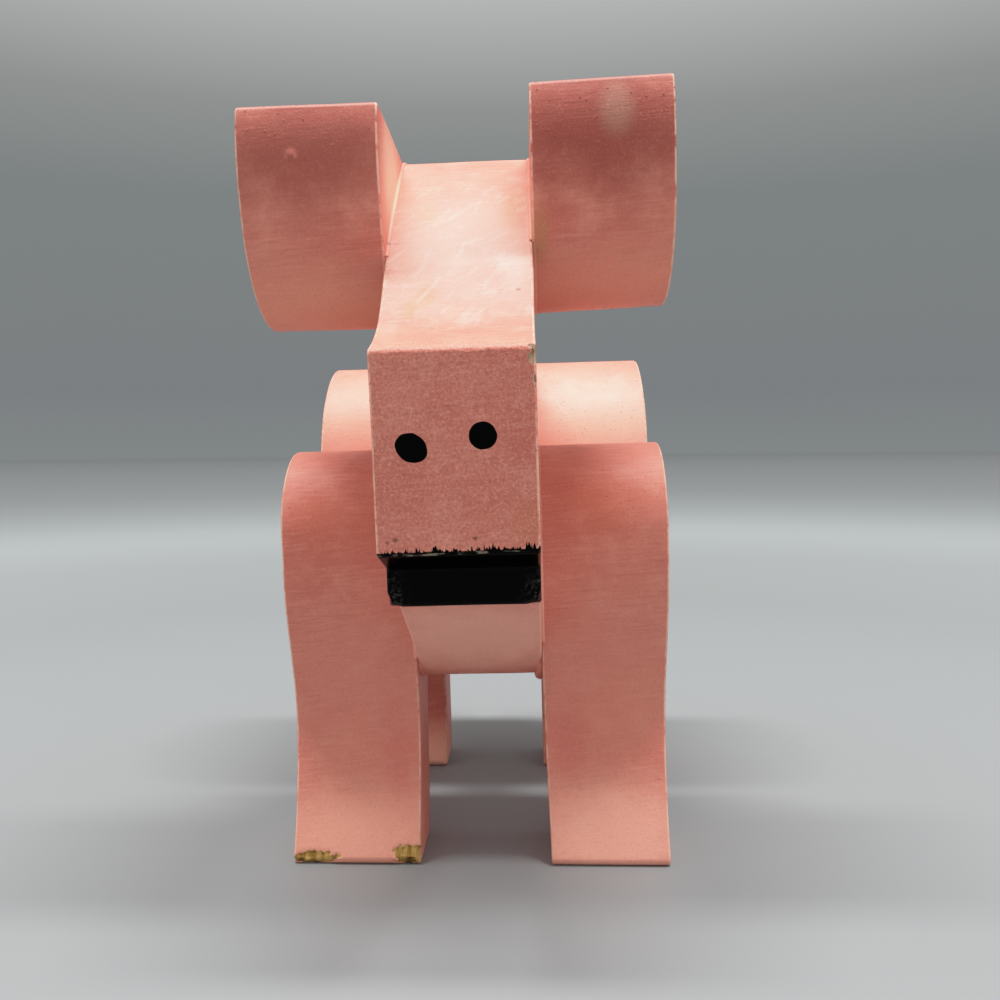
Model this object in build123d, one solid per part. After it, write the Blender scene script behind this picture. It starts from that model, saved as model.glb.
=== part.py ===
from build123d import *
import os
from math import radians, tan

# Pig figurine sawn in side profile from flat board. The centre board is head and body in one
# piece. Two ears, two front legs and two rear legs are glued flat against its sides, and each
# pair is pinned by one hidden dowel that runs right through the centre board.
# Millimetres, +Z up, the snout faces -Y, and the animal's own left side is +X.
# Stations run back from the snout's face, and heights are taken from the floor.

# Board stock
board = 19.0              # centre board's thickness
leg_board = 19.0          # thickness of the legs, but for two
right_front_board = 19.2
left_rear_board = 19.5
right_ear_board = 18.1    # ears are sanded a little thinner
left_ear_board = 18.5
edge_break = 0.4          # rounding of every sawn edge
corner_break = 0.8        # rounding of the outline's sharp corners
overrun = 2.0             # a cut runs this far past what it cuts
facing_share = 0.9        # a face looks sideways when its normal does so by more than this

# The animal leans to its right, because its left legs are a little longer
lean = 1.05               # degrees

# Head on the centre board
snout_top = 73.7          # height of the snout's upper edge
snout_height = 23.6
snout_rake = 1.6          # the lower edge of the snout's face sits this far behind the upper one
lip_depth = 7.2           # from that lower edge back to the jaw's face
lip_drop = 2.4            # fall of the lip over that depth
jaw_height = 4.8
jaw_length = 5.8
jaw_rounding = 1.2        # rounding of the jaw's lower edges
crown_station = 41.0
crown_height = 105.8
brow_shares = [(0.21, 0.125), (0.371, 0.366), (0.561, 0.621), (0.78, 0.86)]
brow_start_slope_share = 0.3

# Body on the centre board
back_height = 77.3
back_length = 9.5         # level stretch of the back, ahead of the haunches' middle
body_length = 99.9
belly_height = 26.3
throat_length = 31.0
seat_lead = 10.0          # the belly ends this far ahead of the haunches' middle
nape_shares = [(0.28, 0.13), (0.42, 0.435), (0.52, 0.74), (0.72, 0.94)]
rump_shares = [(0.755, 0.925), (0.961, 0.749), (0.988, 0.524), (0.852, 0.288), (0.52, 0.092)]
throat_shares = [(0.174, 0.127), (0.352, 0.319), (0.529, 0.524), (0.69, 0.753), (0.835, 0.934)]

# Short whittled tail on the rump
tail_drop = 10.8          # the tail's root is this far below the back
tail_reach = 5.0          # the tip stands this far behind the rump
tail_root = 6.0           # the root's centre lies this far inside the rump
tail_width = 6.5          # and its thickness
tail_tilt = 30.0          # degrees above level
tail_rounding = 2.0

# Ears
ear_station = 13.4        # front of the right ear
ear_length = 29.6
ear_height = 26.0
ear_drop = 0.05           # the right ear's top is this far below the crown
right_ear_tilt = 1.5      # degrees, front edge raised
left_ear_tilt = 4.9
left_ear_slant = 1.5      # degrees that its sawn rim rises away from the head
left_ear_rise = 1.75      # the left ear sits this much higher
left_ear_setback = 1.6    # and this much further back
ear_shares = [(0.017, 0.0), (0.0, 0.16), (0.01, 0.32), (0.04, 0.49), (0.09, 0.67), (0.175, 0.82),
              (0.305, 0.94), (0.475, 1.0), (0.66, 0.97), (0.83, 0.85), (0.95, 0.65), (1.0, 0.40),
              (1.0, 0.16), (0.985, 0.0)]

# Front legs: a round shoulder that narrows to an ankle and a flared foot
leg_gap = 2.7             # from the shoulders' rear to the haunches' front
shoulder_height = 62.6
shoulder_radius = 12.5
foot_taper = 0.7          # the left front foot is sanded this much thinner on each side
taper_start = 45.0        # height where the outer side begins to slope
shin_shares = [(0.04, 0.82), (0.24, 0.63), (0.41, 0.42), (0.30, 0.24), (0.08, 0.08)]
calf_shares = [(1.14, 0.08), (1.25, 0.28), (1.36, 0.50), (1.68, 0.70), (1.94, 0.87)]
toe_shares = [(-0.06, -0.04), (0.98, -0.04)]
foot_splay_share = 0.15
sole_rounding = 1.0

# Rear legs: a round haunch that sweeps back to the hock. Like the front legs' shares, these
# reach below the floor, where the legs are cut level
haunch_proud = 1.1        # the haunches stand this far above the back
haunch_radius = 20.0      # their rear is flush with the rump
left_haunch_rise = 0.2    # the left haunch stands this much higher
thigh_shares = [(0.04, 0.89), (0.23, 0.72), (0.525, 0.537), (0.825, 0.365), (0.99, 0.215),
                (0.965, 0.107), (0.85, 0.02)]
hock_shares = [(1.48, 0.10), (1.47, 0.26), (1.53, 0.45), (1.73, 0.64), (1.93, 0.83)]
hoof_shares = [(0.82, -0.03), (1.41, -0.03)]

# Dowels
dowel_diameter = 6.35
dowel_bite = 12.0         # length of dowel held in each ear or leg
dowel_clearance = 0.1     # on the diameter
dowel_chamfer = 0.8
glue_room = 1.0           # empty depth past each dowel end
ear_dowel_setback = 14.8  # behind the front of the right ear
ear_dowel_drop = 15.5     # below its top

LEFT, RIGHT = 1, -1       # sides of the animal


def at(station, height):
    return Vector(0, station, height)


def along(start, run, rise, shares):
    """Points at shares of a run and a rise from a start point."""
    return [start + Vector(0, run * a, rise * b) for a, b in shares]


def smooth(points, start=None, end=None):
    """One spline through points, with the directions that its ends leave along."""
    if start is None and end is None:
        return Spline(*points)
    ends = [Vector(0, *start).normalized(), Vector(0, *end).normalized()]
    return Spline(*points, tangents=ends, tangent_scalars=[1, 1])


def rounded(face, corners, radius):
    """A profile with some of its sharp corners rounded."""
    sharp = [face.vertices().sort_by_distance(corner)[0] for corner in corners]
    return face.fillet_2d(radius, sharp)


def sawn(face, side, inner, thickness, slant=0):
    """A board cut to a profile, from its inner face outwards on one side. A slanted cut rises."""
    direction = Vector(side, 0, tan(radians(slant)))
    return extrude(Pos(side * inner, 0, 0) * face, amount=thickness * direction.length, dir=direction)


def broken(solid, radius):
    """A board with the outlines of its two sides rounded."""
    sides = [face for face in solid.faces() if abs(face.normal_at().X) > facing_share]
    rims = [edge for face in sides for edge in face.edges()]
    return fillet([edge for edge in rims if rims.count(edge) == 1], radius)


def dowel_hole(side, place):
    """The drilled hole that takes one end of a dowel, from the centre board's side outwards."""
    radius = (dowel_diameter + dowel_clearance) / 2
    length = overrun + dowel_bite + glue_room
    drill = Cylinder(radius, length, align=(Align.CENTER, Align.CENTER, Align.MIN))
    mouth = place + Vector(side * (board / 2 - overrun), 0, 0)
    return Pos(mouth) * Rot(0, side * 90, 0) * drill


def through_hole(place):
    """The hole right through the centre board."""
    radius = (dowel_diameter + dowel_clearance) / 2
    return Pos(place) * Rot(0, 90, 0) * Cylinder(radius, board + 2 * overrun)


def dowel(place):
    """One hardwood pin with chamfered ends, across the centre board."""
    pin = Cylinder(dowel_diameter / 2, board + 2 * dowel_bite)
    ends = pin.faces().filter_by(GeomType.PLANE).edges()
    return Pos(place) * Rot(0, 90, 0) * chamfer(ends, dowel_chamfer)


# Places that several pieces share
chin = snout_top - snout_height
jaw_station = snout_rake + lip_depth
jaw_top = chin - lip_drop
jaw_bottom = jaw_top - jaw_height
throat_start = at(jaw_station + jaw_length, jaw_bottom)
belly_front = throat_start.Y + throat_length
haunch = at(body_length - haunch_radius, back_height + haunch_proud - haunch_radius)
front_leg_station = haunch.Y - haunch_radius - leg_gap - 2 * shoulder_radius
shoulder = at(front_leg_station + shoulder_radius, shoulder_height - shoulder_radius)
belly_rear = haunch.Y - seat_lead
back_front = haunch.Y - back_length
ear_top = crown_height - ear_drop
ear_dowel_place = at(ear_station + ear_dowel_setback, ear_top - ear_dowel_drop)


def centre_board():
    """Head, body and tail in one profile, with the mouth's step under the snout."""
    brow = at(0, snout_top)
    crown = at(crown_station, crown_height)
    nape = at(back_front, back_height)
    back = at(haunch.Y, back_height)
    seat = at(belly_rear, belly_height)
    chest = at(belly_front, belly_height)
    lip = at(snout_rake, chin)
    mouth = at(jaw_station, jaw_top)
    jaw = at(jaw_station, jaw_bottom)

    brow_line = along(brow, crown_station, crown_height - snout_top, brow_shares)
    nape_line = along(crown, back_front - crown_station, back_height - crown_height, nape_shares)
    rump_line = along(seat, body_length - belly_rear, back_height - belly_height, rump_shares)
    throat_line = along(throat_start, throat_length, belly_height - jaw_bottom, throat_shares)
    edges = [
        smooth([brow, *brow_line, crown], (1, brow_start_slope_share), (1, 0)),
        smooth([crown, *nape_line, nape], (1, 0), (1, 0)),
        Line(nape, back),
        smooth([back, *rump_line, seat], (1, 0), (-1, 0)),
        Line(seat, chest),
        smooth([chest, *reversed(throat_line), throat_start], (-1, 0), (-1, 0)),
        Line(throat_start, jaw),
        Line(jaw, mouth),
        Line(mouth, lip),
        Line(lip, brow),
    ]
    face = rounded(Face(Wire(edges)), [brow, lip, mouth], corner_break)
    face = rounded(face, [jaw], jaw_rounding)
    solid = broken(sawn(face, LEFT, -board / 2, board), edge_break) + tail()
    for place in (ear_dowel_place, shoulder, haunch):
        solid = solid - through_hole(place)
    return solid


def tail():
    """A short whittled tail that stands up from the rump."""
    root = at(body_length - tail_root, back_height - tail_drop)
    run = tail_root + tail_reach - tail_width / 2
    tip = root + Vector(0, run, run * tan(radians(tail_tilt)))
    stem = Plane(origin=(root + tip) / 2, x_dir=tip - root, z_dir=(1, 0, 0))
    slot = stem * SlotCenterToCenter((tip - root).length, tail_width)
    return broken(sawn(slot, LEFT, -tail_width / 2, tail_width), tail_rounding)


def ear(side):
    """A block ear: flat top, upright front and a round lower edge."""
    corner = at(ear_station, ear_top)
    rim = along(corner, ear_length, -ear_height, ear_shares)
    face = rounded(Face(Wire([smooth(rim), Line(rim[-1], rim[0])])), [rim[0], rim[-1]], corner_break)
    thickness, tilt, slant, shift = right_ear_board, right_ear_tilt, 0, Vector()
    if side == LEFT:
        thickness, tilt, slant = left_ear_board, left_ear_tilt, left_ear_slant
        shift = at(left_ear_setback, left_ear_rise)
    middle = corner + Vector(0, ear_length / 2, -ear_height / 2)
    face = Pos(shift + middle) * Rot(-tilt, 0, 0) * Pos(-middle) * face
    block = sawn(face, side, board / 2, thickness, slant)
    return broken(block, edge_break) - dowel_hole(side, ear_dowel_place)


def leg(side, thickness, joint, radius, front_shares, foot_shares, rear_shares):
    """A leg under a round shoulder or haunch, cut off level with the floor."""
    front = at(joint.Y - radius, joint.Z)
    rear = at(joint.Y + radius, joint.Z)
    floor = at(front.Y, 0)
    shin = along(floor, radius, joint.Z, front_shares)
    toe, heel = along(floor, radius, joint.Z, foot_shares)
    calf = along(floor, radius, joint.Z, rear_shares)
    profile = Face(Wire([
        ThreePointArc(front, joint + Vector(0, 0, radius), rear),
        smooth([rear, *reversed(calf), heel], (0, -1), (-foot_splay_share, -1)),
        Line(heel, toe),
        smooth([toe, *reversed(shin), front], (foot_splay_share, 1), (0, 1)),
    ]))
    return sawn(profile, side, board / 2, thickness) - under_floor()


def under_floor():
    """Everything below the floor, which is tilted as seen from the leaning animal."""
    reach = 2 * body_length
    block = Box(reach, reach, reach, align=(Align.CENTER, Align.CENTER, Align.MAX))
    return Rot(0, lean, 0) * block


def tapered_slab():
    """The space left between the two sanded sides of the left front leg."""
    inner, outer = board / 2, board / 2 + leg_board
    low, high = -overrun, shoulder_height + overrun
    points = [(inner, high), (inner, belly_height), (inner + foot_taper, low),
              (outer - foot_taper, low), (outer, taper_start), (outer, high)]
    face = Plane.XZ * make_face(Polyline(*points, close=True))
    return extrude(face, amount=2 * body_length, both=True)


def finished(solid, hole):
    """A leg with the edges of its sole and of its sides rounded, and drilled for its dowel."""
    sole = solid.faces().sort_by(Axis.Z)[0]
    across = [edge for edge in sole.edges() if abs(edge.tangent_at(0).X) > facing_share]
    return broken(fillet(across, sole_rounding), edge_break) - hole


def front_leg(side):
    """A front leg. Only the left one is tapered."""
    thickness = leg_board if side == LEFT else right_front_board
    solid = leg(side, thickness, shoulder, shoulder_radius, shin_shares, toe_shares, calf_shares)
    if side == LEFT:
        solid = solid & tapered_slab()
    return finished(solid, dowel_hole(side, shoulder))


def rear_leg(side):
    """A rear leg with its haunch. The left one stands a little higher."""
    thickness, joint = leg_board, haunch
    if side == LEFT:
        thickness, joint = left_rear_board, haunch + Vector(0, 0, left_haunch_rise)
    solid = leg(side, thickness, joint, haunch_radius, thigh_shares, hoof_shares, hock_shares)
    return finished(solid, dowel_hole(side, haunch))


parts = {
    "head_and_body": centre_board(),
    "left_ear": ear(LEFT),
    "right_ear": ear(RIGHT),
    "left_front_leg": front_leg(LEFT),
    "right_front_leg": front_leg(RIGHT),
    "left_rear_leg": rear_leg(LEFT),
    "right_rear_leg": rear_leg(RIGHT),
    "ear_dowel": dowel(ear_dowel_place),
    "front_leg_dowel": dowel(shoulder),
    "rear_leg_dowel": dowel(haunch),
}

# The animal is leaned over onto its feet, and the origin goes under the middle of its box
leaned = {name: Rot(0, -lean, 0) * solid for name, solid in parts.items()}
box = Compound(list(leaned.values())).bounding_box()
middle = (box.min + box.max) / 2

os.makedirs("parts", exist_ok=True)
for name, solid in leaned.items():
    placed = Pos(-middle.X, -middle.Y, -box.min.Z) * solid
    export_step(placed, f"parts/{name}.step")
print("box", box.size, "middle", middle, "lowest", box.min.Z)
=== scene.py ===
import math

import bmesh
import bpy
from mathutils import Matrix, Vector, geometry, kdtree, noise
from mathutils.bvhtree import BVHTree


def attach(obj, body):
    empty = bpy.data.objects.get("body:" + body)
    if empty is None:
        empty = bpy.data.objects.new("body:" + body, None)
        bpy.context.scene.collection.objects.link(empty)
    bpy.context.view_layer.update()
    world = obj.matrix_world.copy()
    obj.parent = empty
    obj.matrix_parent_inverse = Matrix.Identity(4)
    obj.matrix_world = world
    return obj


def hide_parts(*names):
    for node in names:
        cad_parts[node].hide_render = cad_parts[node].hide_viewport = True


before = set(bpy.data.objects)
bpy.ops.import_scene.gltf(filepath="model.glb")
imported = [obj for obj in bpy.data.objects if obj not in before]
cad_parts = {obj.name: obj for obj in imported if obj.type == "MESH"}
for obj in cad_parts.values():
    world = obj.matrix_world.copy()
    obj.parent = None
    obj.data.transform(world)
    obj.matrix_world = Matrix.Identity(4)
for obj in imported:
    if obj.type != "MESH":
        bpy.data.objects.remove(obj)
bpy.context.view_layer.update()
scene = bpy.context.scene
millimetre = 0.001
print("frame:", len(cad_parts), "nodes")

# The boards' own frame, in mm: x from the middle of the centre board towards the animal's left,
# y back from the snout's upper front edge, z up. Paint and wear are placed in it.
boards = {
    "lean": math.radians(1.05),
    "origin": (-0.463577, 52.4706, 0),    # where the model's origin lies, before the lean
    "half": 9.5,                          # half of the centre board's thickness
    "nearness": 0.02,                     # mm off one of its sides that still count as on it
}
leanTurn = Matrix.Rotation(boards["lean"], 4, "Y")
toBoards = leanTurn @ Matrix.Translation(boards["origin"]) @ Matrix.Scale(1 / millimetre, 4)
fromBoards = toBoards.inverted()


def smoothstep(low, high, value):
    share = min(max((value - low) / (high - low), 0), 1)
    return share * share * (3 - 2 * share)


def shade(red, green, blue):
    # a colour given as it shows on a screen, 0 to 255, made linear
    def linear(level):
        level = level / 255
        return level / 12.92 if level <= 0.04045 else ((level + 0.055) / 1.055) ** 2.4
    return (linear(red), linear(green), linear(blue), 1)


# Camera, floor and light

camera = {
    "place": (8.716, -106.587, 61.92),    # in the boards' frame
    "degrees": (86.99809, 0.52275, 1.90499),
    "lens": 34.2,
    "sensor": 36,
    "clipStart": 0.01,
}
lens = bpy.data.cameras.new("camera")
lens.lens, lens.sensor_width, lens.clip_start = camera["lens"], camera["sensor"], camera["clipStart"]
cameraObject = bpy.data.objects.new("camera", lens)
cameraObject.location = fromBoards @ Vector(camera["place"])
cameraObject.rotation_euler = [math.radians(angle) for angle in camera["degrees"]]
scene.collection.objects.link(cameraObject)
scene.camera = cameraObject


class Wire:
    # one output of a node, which can stand in sums
    def __init__(self, tree, socket=None):
        self.tree, self.socket = tree, socket

    def node(self, kind, settings, sockets, output=0):
        made = self.tree.nodes.new(kind)
        for name, value in settings.items():
            if name == "stops":
                # a new ramp has two stops already
                ramp = made.color_ramp.elements
                for step, (position, colour) in enumerate(value):
                    stop = ramp[step] if step < len(ramp) else ramp.new(position)
                    stop.position, stop.color = position, colour
            else:
                setattr(made, name, value)
        for key, value in sockets.items():
            if isinstance(value, Wire):
                self.tree.links.new(value.socket, made.inputs[key])
            else:
                made.inputs[key].default_value = value
        return Wire(self.tree, made.outputs[output]) if made.outputs else None

    def maths(self, operation, first, second=0.0):
        return self.node("ShaderNodeMath", {"operation": operation}, {0: first, 1: second})

    def __add__(self, other):
        return self.maths("ADD", self, other)

    def __radd__(self, other):
        return self.maths("ADD", other, self)

    def __sub__(self, other):
        return self.maths("SUBTRACT", self, other)

    def __mul__(self, other):
        return self.maths("MULTIPLY", self, other)

    def __truediv__(self, other):
        return self.maths("DIVIDE", self, other)

    def __abs__(self):
        return self.maths("ABSOLUTE", self)

    def split(self):
        return [self.node("ShaderNodeSeparateXYZ", {}, {0: self}, axis) for axis in "XYZ"]

    def stretched(self, scales):
        return self.node("ShaderNodeVectorMath", {"operation": "MULTIPLY"}, {0: self, 1: scales})

    def shifted(self, offset):
        return self.node("ShaderNodeVectorMath", {"operation": "ADD"}, {0: self, 1: offset})

    def noise(self, scale, detail=2.0, roughness=0.5, distortion=0.0):
        return self.node("ShaderNodeTexNoise", {}, {"Vector": self, "Scale": scale, "Detail": detail,
                         "Roughness": roughness, "Distortion": distortion}, "Fac")

    def between(self, low, high):
        # 0 up to the first value, 1 from the second on, smooth between them, either way round
        return self.node("ShaderNodeMapRange", {"interpolation_type": "SMOOTHSTEP"},
                         {"Value": self, "From Min": low, "From Max": high})

    def blend(self, first, second):
        # the first colour where this is 0, the second where it is 1, by the node's colour sockets
        return self.node("ShaderNodeMix", {"data_type": "RGBA"}, {0: self, 6: first, 7: second}, 2)

    def awayFrom(self, centre, radii):
        # distance from a place, in shares of the radii
        offset = self.shifted([-value for value in centre]).stretched([1 / value for value in radii])
        return self.node("ShaderNodeVectorMath", {"operation": "LENGTH"}, {0: offset}, "Value")


def newMaterial(name):
    material = bpy.data.materials.new(name)
    material.use_nodes = True
    material.node_tree.nodes.clear()
    return material, Wire(material.node_tree)


def closeMaterial(wire, sockets, mask=None, second=None):
    # one surface, or a second one over it where the mask is 1
    shader = wire.node("ShaderNodeBsdfPrincipled", {}, sockets)
    if mask:
        over = wire.node("ShaderNodeBsdfPrincipled", {}, second)
        shader = wire.node("ShaderNodeMixShader", {}, {0: mask, 1: shader, 2: over})
    wire.node("ShaderNodeOutputMaterial", {}, {"Surface": shader})


stage = {
    "floorRadius": 12.0,
    "floorSides": 128,
    "roughness": 0.6,
    # the floor's colour at distances from the figure, as shares of the fade's length
    "fade": 8.0,
    # painted light and shade: darker close by, where the lamps light the floor most, lightest a little way
    # off, then darker again far away
    "floorStops": [(0.0, shade(132, 134, 135)), (0.03, shade(140, 143, 143)),
                   (0.05, shade(160, 164, 164)), (0.0675, shade(183, 188, 188)),
                   (0.078, shade(187, 192, 192)), (0.1125, shade(177, 182, 182)),
                   (0.156, shade(167, 171, 171)), (0.2625, shade(158, 162, 163)),
                   (0.5, shade(147, 151, 152)), (1.0, shade(134, 138, 139))],
    # the room's colour from the horizon up
    "skyStops": [(0.0, shade(128, 133, 134)), (0.06, shade(122, 126, 128)), (0.25, shade(124, 129, 129)),
                 (0.33, shade(142, 145, 144)), (0.42, shade(180, 182, 182)), (0.6, shade(175, 175, 175)),
                 (1.0, shade(175, 175, 175))],
    "front": 1.2,                         # how much brighter the room is on the camera's side
    "frontSpan": (-0.2, -0.9),            # directions at which that begins and is full
    "sides": 4.5,                         # and high up at the left and right
    "sideSpan": (0.45, 0.75),
    "sideHeight": (0.48, 0.6),
}


def makeFloor():
    mesh = bpy.data.meshes.new("floor")
    bm = bmesh.new()
    bmesh.ops.create_circle(bm, cap_ends=True, cap_tris=True, radius=stage["floorRadius"],
                            segments=stage["floorSides"])
    bm.to_mesh(mesh)
    bm.free()
    floor = bpy.data.objects.new("floor", mesh)
    scene.collection.objects.link(floor)
    material, wire = newMaterial("floor_sheet")
    place = wire.node("ShaderNodeTexCoord", {}, {}, "Object")
    distance = place.awayFrom((0, 0, 0), (stage["fade"],) * 3)
    colour = wire.node("ShaderNodeValToRGB", {"stops": stage["floorStops"]}, {"Fac": distance})
    closeMaterial(wire, {"Base Color": colour, "Roughness": stage["roughness"]})
    mesh.materials.append(material)


def makeSky():
    # a grey room, lighter overhead
    world = bpy.data.worlds.new("room")
    world.use_nodes = True
    world.node_tree.nodes.clear()
    wire = Wire(world.node_tree)
    x, y, height = wire.node("ShaderNodeTexCoord", {}, {}, "Generated").split()
    colour = wire.node("ShaderNodeValToRGB", {"stops": stage["skyStops"]}, {"Fac": height})
    front = y.between(*stage["frontSpan"])
    sides = abs(x).between(*stage["sideSpan"]) * height.between(*stage["sideHeight"])
    strength = 1 + front * stage["front"] + sides * stage["sides"]
    background = wire.node("ShaderNodeBackground", {}, {"Color": colour, "Strength": strength})
    wire.node("ShaderNodeOutputWorld", {}, {"Surface": background})
    scene.world = world


# Two long soft lamps overhead, along the figure
longLamp = {"target": (0, -0.05, 0.05), "width": 0.05, "length": 0.24, "power": 3.0}
lights = {
    "left lamp": {**longLamp, "place": (-0.125, -0.05, 0.60)},
    "right lamp": {**longLamp, "place": (0.155, -0.05, 0.60)},
}


def makeLight(name, light):
    data = bpy.data.lights.new(name, "AREA")
    data.shape, data.energy = "RECTANGLE", light["power"]
    data.size, data.size_y = light["width"], light["length"]
    lamp = bpy.data.objects.new(name, data)
    aim = Vector(light["target"]) - Vector(light["place"])
    lamp.location = light["place"]
    lamp.rotation_euler = aim.to_track_quat("-Z", "Y").to_euler()
    scene.collection.objects.link(lamp)


makeFloor()
makeSky()
for lightName, light in lights.items():
    makeLight(lightName, light)

# The lens' response: bright tones are pressed together, so that lit paint keeps its colour.
# Each point is a level of light and what it shows as.
response = {
    "white": 3.0,
    "curve": [(0.35, 0.35), (0.7, 0.66), (1.0, 0.82), (1.5, 0.91), (2.2, 0.965)],
}
view = scene.view_settings
view.view_transform = "Standard"
view.use_curve_mapping = True
view.curve_mapping.white_level = (response["white"],) * 3
allColours = view.curve_mapping.curves[3]
for level, shown in response["curve"]:
    allColours.points.new(level / response["white"], shown)
view.curve_mapping.update()
print("stage: floor, room and", len(lights), "lamps")


# Boards: a finer copy of each CAD board, a little uneven as sawn and sanded wood is

unevenness = {
    "broad": (13.0, 0.10),                # size of the waves and their height, mm
    "small": (3.5, 0.022),
    "soleFade": (0.4, 3.0),               # heights between which it starts, so that the soles stay level
}
filling = {
    "merge": 1e-3,                        # vertices nearer than this, mm, become one
    "flat": math.radians(0.05),           # and so do faces that turn less than this
    "clear": 0.6,                         # steps that the inner points keep off a face's border
    "sameSpot": 1e-6,                     # points nearer than this are one to the triangulation
}
# Ragged edges of a chip: how fine they are and how deep, and the span over which paint turns to wood
chipping = {"ragged": ((1.3, 0.45), (3.7, 0.25)), "span": (0.0, 0.12)}


def stepAt(piece, point):
    for centre, radius, step in piece["fine"]:
        if (point - Vector(centre)).length < radius:
            return step
    return piece["step"]


def cutEdges(bm, piece):
    # long edges get points first, so that the faces on both sides share them
    for edge in list(bm.edges):
        first, last = edge.verts
        count = math.ceil(edge.calc_length() / stepAt(piece, (first.co + last.co) / 2))
        for left in range(count, 1, -1):
            newEdge, first = bmesh.utils.edge_split(edge, first, 1 / left)
            edge = edge if last in edge.verts else newEdge


def gridPoints(piece, corners, normal, toFlat):
    # an even grid over a flat face, finer in the piece's fine zones, clear of the face's border
    across = [corner.dot(toFlat[0]) for corner in corners]
    up = [corner.dot(toFlat[1]) for corner in corners]
    depth = corners[0].dot(normal)
    border = kdtree.KDTree(len(corners))
    for index, corner in enumerate(corners):
        border.insert(corner, index)
    border.balance()
    found = []
    for step in sorted({piece["step"], *(zone[2] for zone in piece["fine"])}):
        columns = int((max(across) - min(across)) / step)
        rows = int((max(up) - min(up)) / step)
        for column in range(columns + 1):
            for row in range(rows + 1):
                a = min(across) + step * (column + 0.5 * (row % 2))
                b = min(up) + step * (row + 0.5)
                point = toFlat[0] * a + toFlat[1] * b + normal * depth
                if stepAt(piece, point) == step and border.find(point)[2] > filling["clear"] * step:
                    found.append(point)
    return found


def fillFace(bm, face, piece):
    # even triangles in place of a flat face, or the face as it is where they can't be laid
    normal = face.normal.copy()
    sideways = normal.orthogonal().normalized()
    toFlat = (sideways, normal.cross(sideways))
    verts = list(face.verts)
    corners = [vert.co.copy() for vert in verts]
    inner = gridPoints(piece, corners, normal, toFlat)
    flat = [Vector((point.dot(toFlat[0]), point.dot(toFlat[1]))) for point in corners + inner]
    outline = [list(range(len(corners)))]
    insideOnly = 1
    result = geometry.delaunay_2d_cdt(flat, [], outline, insideOnly, filling["sameSpot"])
    triangles, origins = result[2], result[3]
    if any(not origin for origin in origins):
        return
    own = {}
    bm.faces.remove(face)
    for triangle in triangles:
        corner = []
        for index in triangle:
            origin = origins[index][0]
            if origin < len(verts):
                corner.append(verts[origin])
            else:
                if origin not in own:
                    own[origin] = bm.verts.new(inner[origin - len(verts)])
                corner.append(own[origin])
        bm.faces.new(corner)


def boardShape(nodeName):
    # the CAD mesh in the boards' frame, with each flat side as one face
    bm = bmesh.new()
    bm.from_mesh(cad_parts[nodeName].data)
    bm.transform(toBoards)
    bmesh.ops.remove_doubles(bm, verts=bm.verts, dist=filling["merge"])
    bmesh.ops.dissolve_limit(bm, angle_limit=filling["flat"], verts=bm.verts, edges=bm.edges)
    return bm


def fineMesh(nodeName, piece):
    # the board with its flat faces filled by even triangles
    bm = boardShape(nodeName)
    # twice, as part of a long edge may lie in a fine zone that its middle misses
    cutEdges(bm, piece)
    cutEdges(bm, piece)
    # faces with up to four corners, such as strips of the rounded edges, stay as they are
    for face in list(bm.faces):
        if len(face.verts) > 4:
            fillFace(bm, face, piece)
    bmesh.ops.triangulate(bm, faces=[face for face in bm.faces if len(face.verts) > 3])
    bm.normal_update()
    return bm


def bareness(point, piece):
    # 1 where the paint has chipped off, 0 where it is whole
    ragged = sum(depth * noise.noise(point * scale) for scale, depth in chipping["ragged"])
    worst = -1
    for centre, radii in piece["chips"]:
        offset = point - Vector(centre)
        share = Vector(offset[axis] / radii[axis] for axis in range(3)).length
        worst = max(worst, 1 - share + ragged)
    return smoothstep(*chipping["span"], worst)


def lift(point, piece):
    # how far a point of the surface stands out from the CAD shape, mm
    level = smoothstep(*unevenness["soleFade"], point.z)
    height = 0
    for size, rise in (unevenness["broad"], unevenness["small"]):
        height += rise * noise.noise(point / size + Vector((piece["seed"], 0, 0)))
    for centre, radius, rise in piece["lumps"]:
        height += rise * smoothstep(radius, 0, (point - Vector(centre)).length)
    return height * level - piece["chipDepth"] * bareness(point, piece)


def makeBoard(nodeName, piece, material):
    bm = fineMesh(nodeName, piece)
    bareLayer = bm.verts.layers.float.new("bare")
    normals = {vert: vert.normal.copy() for vert in bm.verts}
    for vert, normal in normals.items():
        # a side board's glued face stays flat
        glued = nodeName != "head_and_body" and abs(abs(vert.co.x) - boards["half"]) < boards["nearness"]
        vert[bareLayer] = bareness(vert.co, piece)
        if not glued:
            vert.co += normal * lift(vert.co, piece)
    bm.transform(fromBoards)
    for face in bm.faces:
        face.smooth = True
    mesh = bpy.data.meshes.new(nodeName + "_painted")
    bm.to_mesh(mesh)
    bm.free()
    mesh.materials.append(material)
    board = bpy.data.objects.new(nodeName + "_painted", mesh)
    scene.collection.objects.link(board)
    even = board.modifiers.new("even normals", "WEIGHTED_NORMAL")
    even.keep_sharp = False
    board.data = applied(board)
    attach(board, "root")
    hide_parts(nodeName)
    print(nodeName, len(board.data.polygons), "triangles")
    return board


def applied(thing):
    # the object's mesh with its modifiers worked in, which are then taken off
    bpy.context.view_layer.update()
    graph = bpy.context.evaluated_depsgraph_get()
    result = bpy.data.meshes.new_from_object(thing.evaluated_get(graph), depsgraph=graph)
    thing.modifiers.clear()
    return result


# Paint

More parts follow.
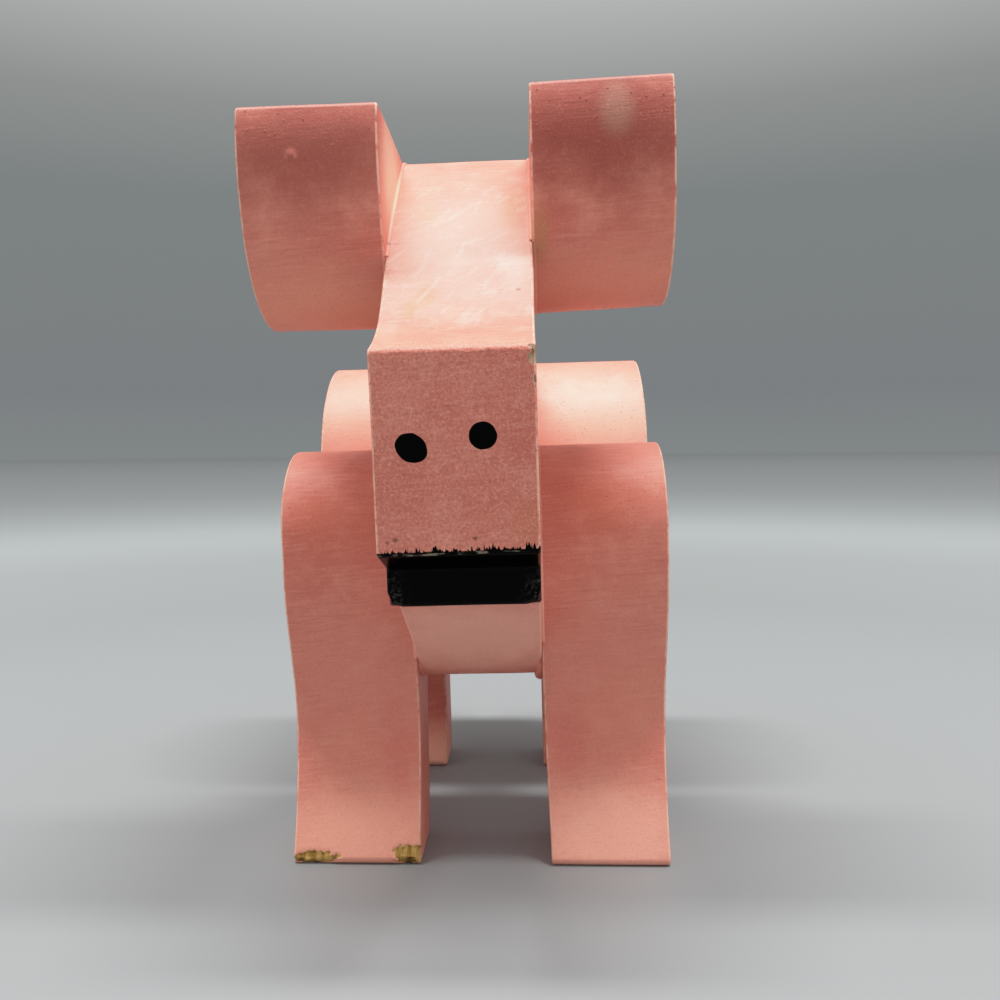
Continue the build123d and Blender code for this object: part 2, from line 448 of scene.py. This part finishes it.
paint = {
    "pink": shade(222, 134, 116),
    "deep": shade(212, 118, 102),
    "pale": shade(232, 154, 134),
    # paler paint along the edges: partly worn, partly a painted highlight
    "rim": shade(246, 196, 172),
    # painted highlight on the paint's raised grains, and painted shade in its pits and brush furrows
    "raisedHighlight": shade(244, 166, 146),
    "recessShade": shade(190, 98, 84),
    "stroke": shade(250, 212, 200),
    "strokeShade": shade(214, 152, 132),
    "roughness": 0.50,
    "cloudRoughness": 0.2,                # how much that varies
    "wornRoughness": 0.3,                 # and what bare wood adds
    "gloss": 0.28,
    "ridge": 0.05,                        # height of the brush ridges, mm
    "pitting": 0.11,
    "sideRough": 0.3,                     # ears and legs are this much as coarse as the snout
    "snoutSpan": (4.0, 2.0),              # mm behind its front, where that begins to grow and is full
    "cloudShift": (40, 0, 0),             # so that the clouds don't follow the broad tints
    "brushTurn": (0, math.radians(4), 0),
    "foreheadTurn": (0, math.radians(48), 0),
    "foreheadFoot": (74.0, 79.0),         # heights between which its strokes come in, and go out
    "foreheadTop": (103.0, 97.0),
    "markWander": 0.7,                    # unevenness of a mark's edge, in the mark's radii
    "markSpan": (1.15, 0.25),             # where a mark begins and is full, in its radii
    "rimSpans": ((0.12, 0.45), (0.97, 0.8)),   # how far sideways the surface faces along the rims painted paler, partly for wear, partly as a painted highlight
    "wornGrain": 0.5,                     # how much the grain breaks the edge of bare wood
    "wornSpan": (0.4, 0.6),
}
mouth = {
    "black": shade(1, 1, 1),
    "scuff": shade(92, 88, 84),
    # a painted highlight along the black's upper edge
    "glintStreak": shade(168, 152, 134),
    "roughness": 0.22,
    "scuffRoughness": 0.4,
    "gloss": 0.04,
    "ridge": 0.01,
    "tilt": 0.012,                        # rise of the black paint's upper edge to the animal's left
    "top": 50.55,                         # its height on the snout
    "bristleReach": 0.85,                 # how far the brush's hairs reached past it
    "leastReach": 0.3,                    # the share of that between the clumps of hairs
    "edge": (-0.03, 0.03),                # mm off the edge at which the paint begins and is full
    "depthSpan": (15.0, 13.0),            # mm behind the snout's front, where the black ends
    "scuffs": 0.65,                       # strength, and where they are: at the jaw's lower corners
    "scuffSides": (6.0, 9.5),
    "scuffHeights": (48.5, 44.5),
    "streaks": 0.6,                       # strength and place of the painted highlight on the black's upper edge
    "streakHeight": 50.30,
    "streakWander": 0.5,
    "streakSpan": (0.16, 0.05),
    "streakDepth": (4.0, 2.5),
}
nostrils = {
    # centre, half the width and half the height, mm, and turn in degrees
    "places": [((-4.93, 0.9, 62.5), 1.95, 1.6, 35), ((3.27, 0.7, 63.7), 1.6, 1.6, 0)],
    "wobble": 0.25,                       # unevenness of the edge, and its span, in the nostril's radii
    "edge": (1.04, 0.96),
    "depthSpan": (3.0, 2.0),
}
# Noises: the stretch of the place that goes in and the levels that come out as 0 and 1, or None, then
# scale, detail, roughness and distortion
textures = {
    "broad": (None, (0.3, 0.7), 0.07, 3, 0.55),
    "cloud": (None, None, 0.22, 4, 0.6),
    "strokes": ((0.22, 2.6, 2.6), None, 1.0, 2, 0.5, 0.3),
    "grain": (None, None, 3.0, 3, 0.7),
    "rimBreaks": (None, (0.3, 0.6), 0.6, 3, 0.6),
    "wood": ((1.4, 0.4, 0.3), (0.35, 0.65), 1.0, 3),
    "patches": (None, (0.35, 0.65), 0.12, 2),
    "forehead": ((0.10, 0.3, 0.6), None, 1.0, 4, 0.65, 0.8),
    "scuffs": (None, (0.48, 0.72), 1.6, 4, 0.7),
    "streakBreaks": ((0.5, 0, 1.2), (0.47, 0.62), 1.0, 3, 0.6),
    "bristles": ((2.3, 0, 0.15), (0.40, 0.68), 1.0, 3, 0.7, 0.4),
    "clumps": ((0.45, 0, 0), (0.35, 0.6), 1.0, 2),
    "nostrilEdge": (None, None, 0.9, 1),
}
# Tints: the colour, the levels of a noise between which it comes in, and its strength
tints = {
    "clouds": ("pale", (0.45, 0.75), 0.55),
    "brushed": ("pale", (0.50, 0.75), 0.45),
    # painted shade in the brush furrows and pits, and painted highlight on the raised grains
    "furrowShade": ("recessShade", (0.45, 0.30), 0.25),
    "grainHighlights": ("raisedHighlight", (0.53, 0.66), 0.55),
    "pitShade": ("recessShade", (0.50, 0.36), 0.50),
    "forehead": ("stroke", (0.50, 0.72), 0.22),
    "foreheadShade": ("strokeShade", (0.50, 0.32), 0.5),
}


def texture(place, name):
    # one of the noises at a place
    stretch, span, *look = textures[name]
    level = (place.stretched(stretch) if stretch else place).noise(*look)
    return level.between(*span) if span else level


def tinted(colour, name, level, amount=1):
    # the colour with one of the tints over it, where the noise asks for it
    tint, span, strength = tints[name]
    return (level.between(*span) * (amount * strength)).blend(colour, paint[tint])


def bumpOf(height):
    return height.node("ShaderNodeBump", {}, {"Height": height, "Distance": millimetre, "Strength": 1.0})


def paintedWood(name, piece, face=False):
    material, wire = newMaterial(name)
    coordinates = wire.node("ShaderNodeTexCoord", {}, {}, "Object")
    place = wire.node("ShaderNodeMapping", {"vector_type": "POINT"}, {
        "Vector": coordinates, "Location": toBoards.translation, "Rotation": (0, boards["lean"], 0),
        "Scale": (1 / millimetre,) * 3})
    sideways = abs(wire.node("ShaderNodeTexCoord", {}, {}, "Normal").split()[0])
    bare = wire.node("ShaderNodeAttribute", {"attribute_name": "bare"}, {}, "Fac")
    cloud = texture(place.shifted(paint["cloudShift"]), "cloud")
    slanted = wire.node("ShaderNodeMapping", {}, {"Vector": place, "Rotation": paint["brushTurn"]})
    strokes = texture(slanted, "strokes")
    grain = texture(place, "grain")
    # how coarse the paint is: most of all on the snout's end grain
    rough = paint["sideRough"]
    if face:
        rough = place.split()[1].between(*paint["snoutSpan"]) * (1 - rough) + rough

    colour = texture(place, "broad").blend(paint["deep"], paint["pink"])
    colour = tinted(colour, "clouds", cloud)
    colour = tinted(colour, "brushed", strokes)
    # painted shade in the brush furrows
    colour = tinted(colour, "furrowShade", strokes)
    # marks: stains and smears of the paint, and painted light and shade, as listed with the boards
    for centre, radii, tint, strength in piece["marks"]:
        edge = place.awayFrom(centre, radii) + (cloud - 0.5) * paint["markWander"]
        colour = (edge.between(*paint["markSpan"]) * strength).blend(colour, tint)
    # painted highlight on the raised grains and painted shade in the pits, strongest on the snout
    colour = tinted(colour, "grainHighlights", grain, rough)
    colour = tinted(colour, "pitShade", grain, rough)
    # paler along the rounded edges that face partly sideways: partly worn paint, partly a painted
    # highlight where they catch the lamps
    rimStart, rimEnd = paint["rimSpans"]
    rim = sideways.between(*rimStart) * sideways.between(*rimEnd)
    rim = rim * texture(place, "rimBreaks") * piece["rim"]
    colour = rim.blend(colour, paint["rim"])
    worn = (bare + (grain - 0.5) * paint["wornGrain"]).between(*paint["wornSpan"])
    colour = worn.blend(colour, texture(place, "wood").blend(*piece["bareWood"]))
    if face:
        colour = foreheadStrokes(place, colour)

    ridges = strokes * (1 + texture(place, "patches")) * paint["ridge"]
    roughness = paint["roughness"] + (cloud - 0.5) * paint["cloudRoughness"]
    pink = {
        "Base Color": colour,
        "Roughness": roughness + worn * paint["wornRoughness"],
        "Specular IOR Level": paint["gloss"],
        "Normal": bumpOf((ridges + grain * paint["pitting"]) * rough),
    }
    if face:
        closeMaterial(wire, pink, blackShare(place), blackPaint(place, strokes, grain))
    else:
        closeMaterial(wire, pink)
    return material


def foreheadStrokes(place, colour):
    # pale strokes that rise to the viewer's right, and fainter darker ones between them
    turned = place.node("ShaderNodeMapping", {}, {"Vector": place, "Rotation": paint["foreheadTurn"]})
    strokes = texture(turned, "forehead")
    height = place.split()[2]
    over = height.between(*paint["foreheadFoot"]) * height.between(*paint["foreheadTop"])
    colour = tinted(colour, "forehead", strokes, over)
    return tinted(colour, "foreheadShade", strokes, over)


def blackShare(place):
    # 1 on the mouth, where black was brushed up to a ragged edge, and on the two nostrils
    x, y, z = place.split()
    least = mouth["leastReach"]
    reach = texture(place, "bristles") * (least + texture(place, "clumps") * (1 - least))
    edge = mouth["top"] + x * mouth["tilt"] + reach * mouth["bristleReach"]
    black = (edge - z).between(*mouth["edge"]) * y.between(*mouth["depthSpan"])
    for centre, halfWidth, halfHeight, turn in nostrils["places"]:
        angle = math.radians(turn)
        a, b = x - centre[0], z - centre[2]
        along = (a * math.cos(angle) - b * math.sin(angle)) / halfWidth
        across = (a * math.sin(angle) + b * math.cos(angle)) / halfHeight
        distance = along * along + across * across
        distance = distance + (texture(place, "nostrilEdge") - 0.5) * nostrils["wobble"]
        nostril = distance.between(*nostrils["edge"]) * y.between(*nostrils["depthSpan"])
        black = black.maths("MAXIMUM", black, nostril)
    return black


def blackPaint(place, strokes, grain):
    # scuffed at the jaw's corners, with a thin painted highlight along the black just under its upper
    # edge, where the snout's rounded lower edge catches the light
    x, y, z = place.split()
    scuffs = texture(place, "scuffs") * abs(x).between(*mouth["scuffSides"])
    scuffs = scuffs * z.between(*mouth["scuffHeights"])
    line = z - x * mouth["tilt"] - mouth["streakHeight"] + (strokes - 0.5) * mouth["streakWander"]
    glintStreak = abs(line).between(*mouth["streakSpan"]) * texture(place, "streakBreaks")
    glintStreak = glintStreak * y.between(*mouth["streakDepth"])
    colour = (scuffs * mouth["scuffs"]).blend(mouth["black"], mouth["scuff"])
    return {
        "Base Color": (glintStreak * mouth["streaks"]).blend(colour, mouth["glintStreak"]),
        "Roughness": mouth["roughness"] + scuffs * mouth["scuffRoughness"],
        "Specular IOR Level": mouth["gloss"],
        "Normal": bumpOf(grain * mouth["ridge"]),
    }


# The boards. All places are centres in the boards' frame, mm. A fine zone has a radius and a step, a
# lump or dent a radius and a rise, a chip its radii, and a mark its radii, tint and strength.
# Marks are stains and smears of the paint, and also painted light and shade where that is said
plainPiece = {
    "step": 1.1,                          # between the points of a flat face, mm
    "fine": [], "lumps": [], "chips": [], "marks": [],
    "chipDepth": 0.2,
    "seed": 0.0,
    "rim": 0.75,                          # how much paler the paint is along the edges: partly worn paint, partly a painted highlight
    "bareWood": (shade(140, 104, 46), shade(196, 156, 88)),
}
head = {**plainPiece, "seed": 3.1, "chipDepth": 0.12,
        "bareWood": (shade(96, 74, 52), shade(206, 174, 140)),
        "fine": [((9.4, 0.6, 67), 7.5, 0.22), ((0, 0.8, 62), 17, 0.5), ((-9.5, 9, 43.3), 3, 0.35),
                 ((9.5, 9, 43.3), 3, 0.35)],
        "chips": [((9.7, 0.2, 72.9), (1.2, 1.2, 1.5)), ((9.6, 0.1, 69.6), (0.45, 0.5, 1.3)),
                  ((9.6, 0.2, 66.0), (0.35, 0.45, 1.6)), ((9.6, 0.4, 62.2), (0.3, 0.4, 0.9))],
        "lumps": [((-7.2, 1.3, 52.0), 0.5, -0.25), ((-8.1, 1.3, 51.7), 0.35, -0.2),
                  ((2.0, 1.4, 52.0), 0.35, -0.2), ((-4.5, 0.3, 68.8), 0.5, 0.06),
                  ((8.0, 0.9, 60.6), 0.5, 0.07),
                  ((-9.6, 8.8, 42.7), 2.4, -0.9), ((9.6, 8.8, 42.7), 2.4, -0.9)],
        # the forehead painted paler: painted light where the lamps above fall on it
        "marks": [((0, 20, 90), (16, 14, 14), shade(236, 176, 160), 0.45),
                  ((-5.6, 10.0, 79.7), (1.7, 3.2, 2.1), shade(194, 124, 82), 0.6),
                  ((-3.7, 11.4, 81.6), (1.8, 3.2, 2.2), shade(194, 124, 82), 0.6),
                  ((-4.6, 23.5, 94.4), (1.8, 4, 3), shade(190, 140, 104), 0.4),
                  ((-1.5, 17.0, 88.0), (5, 5, 2.4), shade(196, 134, 114), 0.45),
                  ((7.0, 14.5, 84.7), (2.0, 6, 6), shade(240, 188, 176), 0.3),
                  # darker brown at the forehead's side next to the left ear: the ear's painted shadow
                  ((7.4, 25, 95), (3.0, 8, 7), shade(196, 128, 98), 0.6),
                  ((-8.9, 17.2, 89.3), (1.8, 2.0, 0.32), shade(112, 72, 60), 0.8),
                  ((7.6, 12.3, 81.9), (0.5, 0.6, 0.35), shade(120, 80, 66), 0.8),
                  ((-7.2, 1.3, 52.0), (0.45, 0.6, 0.4), shade(40, 22, 20), 0.9),
                  ((-8.1, 1.3, 51.7), (0.3, 0.5, 0.3), shade(40, 22, 20), 0.9),
                  ((2.0, 1.4, 52.0), (0.3, 0.5, 0.3), shade(40, 22, 20), 0.9),
                  ((8.0, 1.2, 53.5), (2.2, 1, 3.5), shade(214, 128, 96), 0.5),
                  # throat and belly painted paler: painted light from the bright floor below
                  ((0, 30, 38), (22, 19, 19), shade(252, 180, 160), 1.0)]}
rightEar = {**plainPiece, "seed": 5.3,
            "fine": [((-20.5, 13.9, 99.5), 3, 0.3)],
            "lumps": [((-20.5, 13.7, 99.5), 1.2, 0.22), ((-14.2, 14.0, 97.0), 0.9, 0.05)],
            # the ear's front darker towards its top: painted shade
            "marks": [((-19.0, 15.0, 101.0), (18, 7, 11), shade(172, 88, 76), 0.9),
                      # and paler towards its foot: painted light
                      ((-19.0, 22.0, 80.5), (18, 10, 9), shade(250, 164, 138), 0.8),
                      # its inner side paler: painted light from the lamp on that side
                      ((-9.5, 25.5, 99.0), (1.0, 11.5, 11), shade(240, 192, 166), 0.9)]}
leftEar = {**plainPiece, "seed": 7.7,
           # the ear's front darker towards its top: painted shade
           "marks": [((18.5, 15.5, 103.5), (18, 7, 13), shade(160, 74, 63), 0.9),
                     # and paler towards its foot: painted light
                     ((18.5, 22.5, 82.0), (18, 10, 9), shade(248, 158, 134), 0.75),
                     ((20.5, 15.9, 104.8), (2.6, 3, 4.5), shade(186, 140, 120), 0.5),
                     ((10.4, 17.7, 89.6), (1.6, 5, 5), shade(196, 136, 92), 0.6)]}
rightFrontLeg = {**plainPiece, "seed": 11.2,
                 "fine": [((-19.5, 32, 1), 13, 0.35)],
                 "chips": [((-25.6, 32.2, 1.4), (3.8, 1.6, 1.2)), ((-11.3, 32.4, 1.6), (2.2, 1.8, 1.7))],
                 # the leg paler low down and most at the foot: painted light from the lamps and the floor
                 "marks": [((-19.5, 33, 24), (18, 9, 14), shade(236, 146, 126), 0.6),
                           ((-19.5, 33, 3), (18, 9, 11), shade(248, 168, 144), 0.9),
                           ((-12.7, 36.9, 17), (3.5, 6, 9), shade(214, 108, 96), 0.45),
                           # darker over the shoulder's top: the ear's painted shadow
                           ((-19.0, 34.0, 52.0), (12, 5, 6), shade(214, 116, 92), 0.5)]}
leftFrontLeg = {**plainPiece, "seed": 13.9,
                "fine": [((20, 34.5, 9), 9.5, 0.4)],
                "lumps": [((14.3, 35.3, 10.2), 1.1, -0.10), ((16.4, 35.0, 8.7), 0.8, -0.08),
                          ((26.2, 35.4, 11.5), 1.0, -0.12), ((22.5, 35.0, 9.4), 0.8, 0.06),
                          ((12.0, 34.3, 6.0), 0.9, -0.08)],
                # the leg paler low down and most at the foot: painted light from the lamps and the floor
                "marks": [((19.5, 34, 24), (18, 9, 14), shade(236, 146, 126), 0.6),
                          ((19.5, 34, 3), (18, 9, 12), shade(250, 172, 150), 0.95),
                          ((13.4, 37, 17.4), (3.5, 6, 8), shade(216, 108, 96), 0.45),
                          # darker over the shoulder's top: the ear's painted shadow
                          ((18.0, 34.0, 53.0), (10, 5, 6), shade(214, 110, 84), 0.5)]}
rightRearLeg = {**plainPiece, "seed": 17.4,
                # paler over the haunch: painted highlight, the sheen where the lamps light it
                "marks": [((-19, 62, 68), (18, 18, 16), shade(238, 164, 144), 0.65),
                          # paler at the foot: painted light
                          ((-12, 72, 2), (9, 18, 8), shade(250, 184, 160), 0.95)]}
leftRearLeg = {**plainPiece, "seed": 19.6,
               # paler over the haunch: painted highlight, the sheen where the lamps light it
               "marks": [((19, 60, 63), (20, 18, 22), shade(244, 180, 160), 0.9)]}
pieces = {
    "head_and_body": head, "right_ear": rightEar, "left_ear": leftEar,
    "right_front_leg": rightFrontLeg, "left_front_leg": leftFrontLeg,
    "right_rear_leg": rightRearLeg, "left_rear_leg": leftRearLeg,
}
made = {}
for nodeName, piece in pieces.items():
    material = paintedWood(nodeName + "_paint", piece, face=nodeName == "head_and_body")
    made[nodeName] = makeBoard(nodeName, piece, material)


# Paint that bridges the joints between the boards, and specks that dried in it

seams = {
    "radius": 0.34,                       # of the run of paint, mm
    "unevenness": 0.4,                    # the share by which that varies
    "wave": (300.0, 3, 0.7),              # the noise that varies it: scale per metre, detail, roughness
    "sides": 8,
    "spacing": 0.45,                      # between its rings, mm
    "out": 0.85, "along": 0.5,            # its middle, off the board's rim and off the joint, in radii
    "start": 0.5,                         # how far off the rim the other board is looked for, mm
    "nearness": 0.8,                      # and how near it has to be
    "fewest": 3,                          # points that a stretch needs
    "flatness": 0.999,                    # a face that looks sideways by this is part of the glued side
    # the joint where glue ran out most
    "glueRun": {"place": (9.5, 45.0, 29.0), "reach": 11.0, "radius": 0.85},
}
nibs = {
    "size": 0.10,                         # radius, mm
    "least": (0.6, 0.6, 0.5),             # shares of the size
    "most": (1.7, 1.3, 1.1),
    "perSquare": {"snout": 0.9, "front": 0.12, "rest": 0.03},   # specks on a square mm
    "facing": -0.6,                       # surfaces that face forwards by this are fronts
    "snoutDepth": 2.2,                    # mm behind its front that still are the snout's face
    "headHalf": 10,                       # what lies within this of the middle is the centre board
    # there are no specks on the black jaw, on the forehead and this near a nostril's middle
    "jaw": {"top": 51.5, "back": 16},
    "forehead": {"foot": 73.5, "half": 9.6},
    "clear": 2.6,
    "seed": 11,
}


def geometryTree(name, kinds):
    # a node tree with one mesh in and one out, and the inputs that are named in kinds
    tree = bpy.data.node_groups.new(name, "GeometryNodeTree")
    tree.interface.new_socket("Mesh", in_out="OUTPUT", socket_type="NodeSocketGeometry")
    for label, kind in {"Mesh": "Geometry", **kinds, "Material": "Material"}.items():
        tree.interface.new_socket(label, in_out="INPUT", socket_type="NodeSocket" + kind)
    entry = tree.nodes.new("NodeGroupInput")
    return {socket.name: Wire(tree, socket) for socket in entry.outputs if socket.name}


def closeTree(shape, inputs):
    # the tree's end: the shape as one real mesh, painted
    whole = shape.node("GeometryNodeRealizeInstances", {}, {"Geometry": shape})
    painted = whole.node("GeometryNodeSetMaterial", {}, {
        "Geometry": whole, "Material": inputs["Material"]})
    painted.node("NodeGroupOutput", {}, {"Mesh": painted})


def grown(name, mesh, tree, values):
    # what a tree makes of a mesh, as a plain piece
    thing = bpy.data.objects.new(name, mesh)
    scene.collection.objects.link(thing)
    modifier = thing.modifiers.new("growth", "NODES")
    modifier.node_group = tree
    for item in tree.interface.items_tree:
        if item.in_out == "INPUT" and item.name in values:
            modifier[item.identifier] = values[item.name]
    thing.data = applied(thing)
    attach(thing, "root")
    print(name, len(thing.data.polygons), "faces")


def runTree():
    # a round run of paint along every line, as thick as its points say
    inputs = geometryTree("paint run", {"Spacing": "Float", "Unevenness": "Float"})
    path = inputs["Mesh"].node("GeometryNodeMeshToCurve", {}, {"Mesh": inputs["Mesh"]})
    path = path.node("GeometryNodeResampleCurve", {"mode": "LENGTH"}, {
        "Curve": path, "Length": inputs["Spacing"]})
    thick = path.node("GeometryNodeInputNamedAttribute", {}, {"Name": "thick"})
    wave = path.node("GeometryNodeInputPosition", {}, {}).noise(*seams["wave"])
    radius = thick * (1 + (wave - 0.5) * 2 * inputs["Unevenness"])
    ring = path.node("GeometryNodeCurvePrimitiveCircle", {}, {"Resolution": seams["sides"], "Radius": 1.0})
    run = path.node("GeometryNodeCurveToMesh", {}, {
        "Curve": path, "Profile Curve": ring, "Scale": radius, "Fill Caps": True})
    closeTree(run.node("GeometryNodeSetShadeSmooth", {}, {"Geometry": run}), inputs)
    return run.tree


def nibTree():
    # small grains over the surface, as dense as its points say
    inputs = geometryTree("paint nibs", {"Size": "Float", "Seed": "Int"})
    mesh, seed = inputs["Mesh"], inputs["Seed"]
    weight = mesh.node("GeometryNodeInputNamedAttribute", {}, {"Name": "nibs"})
    points = mesh.node("GeometryNodeDistributePointsOnFaces", {}, {
        "Mesh": mesh, "Density": weight, "Seed": seed})
    turn = Wire(points.tree, points.socket.node.outputs["Rotation"])
    grain = mesh.node("GeometryNodeMeshIcoSphere", {}, {"Radius": inputs["Size"], "Subdivisions": 1})
    grain = grain.node("GeometryNodeSetShadeSmooth", {}, {"Geometry": grain})
    scale = mesh.node("FunctionNodeRandomValue", {"data_type": "FLOAT_VECTOR"},
                      {"Min": nibs["least"], "Max": nibs["most"], "Seed": seed})
    closeTree(mesh.node("GeometryNodeInstanceOnPoints", {}, {
        "Points": points, "Instance": grain, "Rotation": turn, "Scale": scale}), inputs)
    return mesh.tree


def rimLoop(bm, side):
    # the vertices around the board's flat glued side, in order: its longest border
    plane = side * boards["half"]
    flat = {face for face in bm.faces if abs(face.normal.x) > seams["flatness"]
            and all(abs(vert.co.x - plane) < boards["nearness"] for vert in face.verts)}
    bm.edges.index_update()
    border = {edge.index: edge for edge in bm.edges if len(flat.intersection(edge.link_faces)) == 1}
    loops = []
    while border:
        loop = list(border.pop(min(border)).verts)
        while True:
            following = [edge for edge in loop[-1].link_edges if edge.index in border]
            if not following:
                break
            del border[following[0].index]
            loop.append(following[0].other_vert(loop[-1]))
        loops.append(loop[:-1])
    return max(loops, key=lambda loop: sum((a.co - b.co).length for a, b in zip(loop, loop[1:])))


def touching(loop, neighbour, direction):
    # stretches of the rim that lie against the neighbour, with their places and thicknesses
    run = seams["glueRun"]
    spots = []
    for vert in loop:
        distance = neighbour.ray_cast(vert.co - direction * seams["start"], direction)[3]
        extra = smoothstep(run["reach"], 0, (vert.co - Vector(run["place"])).length)
        radius = seams["radius"] + extra * (run["radius"] - seams["radius"])
        outward = Vector((0, vert.normal.y, vert.normal.z)).normalized()
        place = vert.co + outward * radius * seams["out"] - direction * radius * seams["along"]
        near = distance is not None and distance < seams["nearness"]
        spots.append((place, radius) if near else None)
    first = next((index for index, spot in enumerate(spots) if spot is None), 0)
    stretches = [[]]
    for spot in spots[first:] + spots[:first]:
        if spot is None:
            stretches.append([])
        else:
            stretches[-1].append(spot)
    return [stretch for stretch in stretches if len(stretch) >= seams["fewest"]]


def seamMesh():
    # a run of paint in each inner corner between the centre board and a side board
    shapes = {nodeName: boardShape(nodeName) for nodeName in pieces}
    for shape in shapes.values():
        shape.normal_update()
    solids = {nodeName: BVHTree.FromBMesh(shape) for nodeName, shape in shapes.items()}
    stretches = []
    for nodeName, shape in shapes.items():
        if nodeName == "head_and_body":
            continue
        side = 1 if nodeName.startswith("left") else -1
        outward = Vector((side, 0, 0))
        stretches += touching(rimLoop(shape, side), solids["head_and_body"], -outward)
        stretches += touching(rimLoop(shapes["head_and_body"], side), solids[nodeName], outward)
    paths = bmesh.new()
    thick = paths.verts.layers.float.new("thick")
    for stretch in stretches:
        last = None
        for spot, radius in stretch:
            vert = paths.verts.new(spot)
            vert[thick] = radius * millimetre
            if last:
                paths.edges.new((last, vert))
            last = vert
    paths.transform(fromBoards)
    mesh = bpy.data.meshes.new("painted_seams")
    paths.to_mesh(mesh)
    for bm in (paths, *shapes.values()):
        bm.free()
    return mesh


def nibMesh():
    # every board's surface, with how many specks each part of it takes
    share, jaw, forehead = nibs["perSquare"], nibs["jaw"], nibs["forehead"]
    whole = bmesh.new()
    for board in made.values():
        whole.from_mesh(board.data)
    density = whole.verts.layers.float.new("nibs")
    for vert in whole.verts:
        place = toBoards @ vert.co
        inHead = abs(place.x) < nibs["headHalf"]
        onJaw = inHead and place.z < jaw["top"] and place.y < jaw["back"]
        onForehead = place.z > forehead["foot"] and abs(place.x) < forehead["half"]
        nearest = min((place - Vector(nostril[0])).length for nostril in nostrils["places"])
        if onJaw or onForehead or nearest < nibs["clear"]:
            amount = 0
        elif vert.normal.y >= nibs["facing"]:
            amount = share["rest"]
        else:
            amount = share["snout"] if inHead and place.y < nibs["snoutDepth"] else share["front"]
        vert[density] = amount / millimetre ** 2
    mesh = bpy.data.meshes.new("paint_nibs")
    whole.to_mesh(mesh)
    whole.free()
    return mesh


# paint in the joints and specks take the tints of the boards around them, their painted light and shade
# too
everyMark = [mark for piece in pieces.values() for mark in piece["marks"]]
seamPaint = paintedWood("seam_paint", {**plainPiece, "marks": everyMark, "rim": 0})
grown("painted_seams", seamMesh(), runTree(), {
    "Spacing": seams["spacing"] * millimetre, "Unevenness": seams["unevenness"], "Material": seamPaint})
grown("paint_nibs", nibMesh(), nibTree(), {
    "Size": nibs["size"] * millimetre, "Seed": nibs["seed"], "Material": seamPaint})


# Dowels: plain hardwood, hidden inside

dowelLook = {
    "stretch": (200, 2500, 2500),         # along the dowels and across, per metre
    "rings": (1.0, 4, 0.6, 0.5),
    "span": (0.3, 0.7),
    "tints": (shade(196, 160, 116), shade(222, 190, 148)),
    "roughness": 0.6, "ringRoughness": 0.15,
}


def dowelWood():
    material, wire = newMaterial("dowel_wood")
    place = wire.node("ShaderNodeTexCoord", {}, {}, "Object").stretched(dowelLook["stretch"])
    rings = place.noise(*dowelLook["rings"])
    closeMaterial(wire, {
        "Base Color": rings.between(*dowelLook["span"]).blend(*dowelLook["tints"]),
        "Roughness": dowelLook["roughness"] + rings * dowelLook["ringRoughness"]})
    return material


dowelMaterial = dowelWood()
for nodeName in ("ear_dowel", "front_leg_dowel", "rear_leg_dowel"):
    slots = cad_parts[nodeName].data.materials
    slots.clear()
    slots.append(dowelMaterial)
print("dowels finished")
